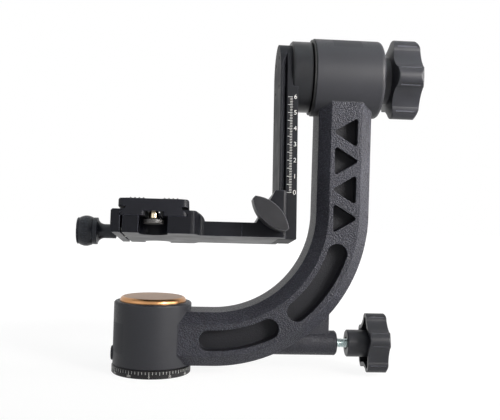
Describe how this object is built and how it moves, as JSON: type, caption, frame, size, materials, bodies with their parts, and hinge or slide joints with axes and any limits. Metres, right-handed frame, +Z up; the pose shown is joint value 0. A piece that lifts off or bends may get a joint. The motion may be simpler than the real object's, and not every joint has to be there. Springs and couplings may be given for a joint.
{
  "type": "gimbal head",
  "caption": "Side-mount gimbal head for long lenses: a curved arm pans on a round base, and a sliding platform with a dovetail clamp swings from its top barrel.",
  "frame": {"origin": "centre of the round base's bottom face, on the pan axis, at the mouth of the tripod thread", "axes": "+Z up along the pan axis, +X from the base towards the arm and along the tilt axis, -Y towards the user"},
  "size_m": [0.2128, 0.0836, 0.2171],
  "materials": {
    "anodised_black": "satin black anodised aluminium",
    "arm_paint": "cast aluminium in black paint with a fine pebbled texture on the arm, smoother on the barrels",
    "bronze": "bronze-coloured anodised cap with a bright gold edge",
    "steel": "bright zinc-plated or turned steel",
    "aluminium": "turned aluminium",
    "black_plastic": "black moulded plastic, satin",
    "leaf_metal": "dark grey painted aluminium",
    "friction_liner": "black friction liner",
    "brass": "brass",
    "rubber": "matte black ribbed rubber",
    "screw_metal": "bright warm-coloured plated steel"
  },
  "bodies": {
    "base": {"base_plate": "anodised_black", "base_screws": "steel", "tripod_bushing": "steel", "pan_spindle": "aluminium", "brake_drum": "steel", "spindle_washer": "steel", "spindle_nut": "steel", "pan_bearing_inners": "steel", "pan_bearing_balls": "steel"},
    "arm": {"arm_housing": "arm_paint", "top_cap": "bronze", "side_plug": "steel", "pan_bearing_outers": "steel", "tilt_bearing_outers": "steel", "friction_washer": "friction_liner"},
    "pan_brake": {"pan_brake_shoe": "brass", "pan_push_rod": "steel"},
    "pan_lock": {"pan_knob": "black_plastic", "pan_stud": "steel"},
    "swing": {"tilt_hub": "anodised_black", "tilt_shaft": "steel", "tilt_spacer": "steel", "shaft_ring": "steel", "rail": "anodised_black", "rail_screws": "steel", "tilt_bearing_inners": "steel", "tilt_bearing_balls": "steel"},
    "tilt_brake": {"pressure_ring": "aluminium"},
    "tilt_lock": {"tilt_knob": "black_plastic", "tilt_knob_insert": "brass"},
    "platform": {"platform": "anodised_black", "clamp_guide_pins": "steel", "foot_guide_pins": "steel"},
    "foot_jaw": {"foot_jaw": "anodised_black"},
    "wing": {"wing_knob": "leaf_metal", "wing_screw": "steel"},
    "clamp_jaw": {"clamp_jaw": "anodised_black"},
    "clamp_lock": {"clamp_knob": "anodised_black", "clamp_screw": "steel", "clamp_clip": "steel"},
    "plate": {"camera_plate": "anodised_black", "plate_pad": "rubber"},
    "screw_slider": {"screw_clip": "steel"},
    "camera_screw": {"camera_screw": "screw_metal", "screw_collar": "black_plastic"}
  },
  "joints": [
    {"name": "pan", "type": "hinge", "parent": "base", "child": "arm", "pos_m": [0, 0, 0.02], "axis": [0, 0, 1], "continuous": true},
    {"name": "pan_brake_slide", "type": "slide", "parent": "arm", "child": "pan_brake", "axis": [1, 0, 0], "range_m": [0, 0.00124]},
    {"name": "pan_knob_turn", "type": "hinge", "parent": "pan_brake", "child": "pan_lock", "pos_m": [0.13, 0, 0.0196], "axis": [1, 0, 0], "range_deg": [0, 447]},
    {"name": "tilt", "type": "hinge", "parent": "arm", "child": "swing", "pos_m": [0.11, 0, 0.1916], "axis": [1, 0, 0], "continuous": true},
    {"name": "tilt_brake_slide", "type": "slide", "parent": "swing", "child": "tilt_brake", "axis": [1, 0, 0], "range_m": [0, 0.00187]},
    {"name": "tilt_knob_turn", "type": "hinge", "parent": "tilt_brake", "child": "tilt_lock", "pos_m": [0.155, 0, 0.1916], "axis": [1, 0, 0], "range_deg": [0, 450.5]},
    {"name": "platform_slide", "type": "slide", "parent": "swing", "child": "platform", "axis": [0, 0.1253, 0.9921], "range_m": [0, 0.06]},
    {"name": "foot_jaw_slide", "type": "slide", "parent": "platform", "child": "foot_jaw", "axis": [0, -0.9921, 0.1253], "range_m": [0, 0.00158]},
    {"name": "wing_turn", "type": "hinge", "parent": "foot_jaw", "child": "wing", "pos_m": [0.0684, -0.04654, 0.10243], "axis": [0, -0.9921, 0.1253], "range_deg": [0, 711.5]},
    {"name": "clamp_jaw_slide", "type": "slide", "parent": "platform", "child": "clamp_jaw", "axis": [-1, 0, 0], "range_m": [0, 0.00398]},
    {"name": "clamp_knob_turn", "type": "hinge", "parent": "clamp_jaw", "child": "clamp_lock", "pos_m": [-0.04, -0.01297, 0.08892], "axis": [-1, 0, 0], "range_deg": [0, 1433.5]},
    {"name": "plate_slide", "type": "slide", "parent": "platform", "child": "plate", "axis": [0, 0.9921, -0.1253], "range_m": [-0.006, 0.0012]},
    {"name": "screw_slide", "type": "slide", "parent": "plate", "child": "screw_slider", "axis": [0, 0.9921, -0.1253], "range_m": [-0.0005, 0.001]},
    {"name": "camera_screw_turn", "type": "hinge", "parent": "screw_slider", "child": "camera_screw", "pos_m": [0.001, -0.04283, 0.10388], "axis": [0, 0.1253, 0.9921], "continuous": true}
  ],
  "couplings": [
    {"joint": "pan_knob_turn", "follows": "pan_brake_slide", "rad_per_m": 6283.2},
    {"joint": "tilt_knob_turn", "follows": "tilt_brake_slide", "rad_per_m": 4188.8},
    {"joint": "wing_turn", "follows": "foot_jaw_slide", "rad_per_m": 7854},
    {"joint": "clamp_knob_turn", "follows": "clamp_jaw_slide", "rad_per_m": 6283.2}
  ]
}
